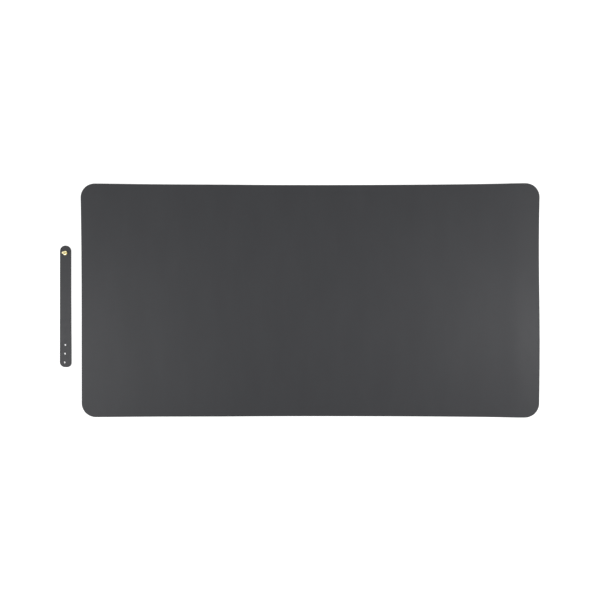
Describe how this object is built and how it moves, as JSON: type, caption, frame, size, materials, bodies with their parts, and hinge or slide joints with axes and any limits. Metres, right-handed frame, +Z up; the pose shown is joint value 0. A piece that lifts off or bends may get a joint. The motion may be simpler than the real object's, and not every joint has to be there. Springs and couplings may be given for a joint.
{
  "type": "desk mat",
  "caption": "Flat rectangular leatherette desk mat with rounded corners and sealed edges, with its loose punched closing strap and screw-back brass ball stud.",
  "frame": {"origin": "centre of the mat's underside, on the desk", "axes": "+X along the mat's length to the right, +Y across it and away from the user, +Z up; the strap lies past the -X end"},
  "size_m": [0.842, 0.409, 0.01],
  "materials": {
    "leatherette": "dark grey, fine pebble grain, matt sheen",
    "suede_backing": "short-nap suede-touch microfibre",
    "bond_film": "hot-melt film",
    "edge_paint": "flexible edge paint, satin",
    "brass": "polished"
  },
  "bodies": {
    "mat": {"mat_top_sheet": "leatherette", "mat_bond_film": "bond_film", "mat_base_sheet": "suede_backing", "mat_edge_coat": "edge_paint"},
    "strap": {"strap_face_sheet": "leatherette", "strap_bond_film": "bond_film", "strap_back_sheet": "suede_backing", "strap_edge_coat": "edge_paint"},
    "stud_post": {"stud_post": "brass"},
    "stud_screw": {"stud_screw": "brass"}
  },
  "joints": [
    {"name": "strap_lift", "type": "slide", "parent": "mat", "child": "strap", "axis": [0, 0, 1], "range_m": [0, 0.1]},
    {"name": "screw_turn", "type": "hinge", "parent": "strap", "child": "stud_screw", "pos_m": [-0.43225, 0.084, 0], "axis": [0, 0, -1], "range_deg": [0, 2520]},
    {"name": "post_rise", "type": "slide", "parent": "strap", "child": "stud_post", "axis": [0, 0, 1], "range_m": [0, 0.0028]}
  ],
  "couplings": [
    {"joint": "screw_turn", "follows": "post_rise", "rad_per_m": 15708}
  ]
}
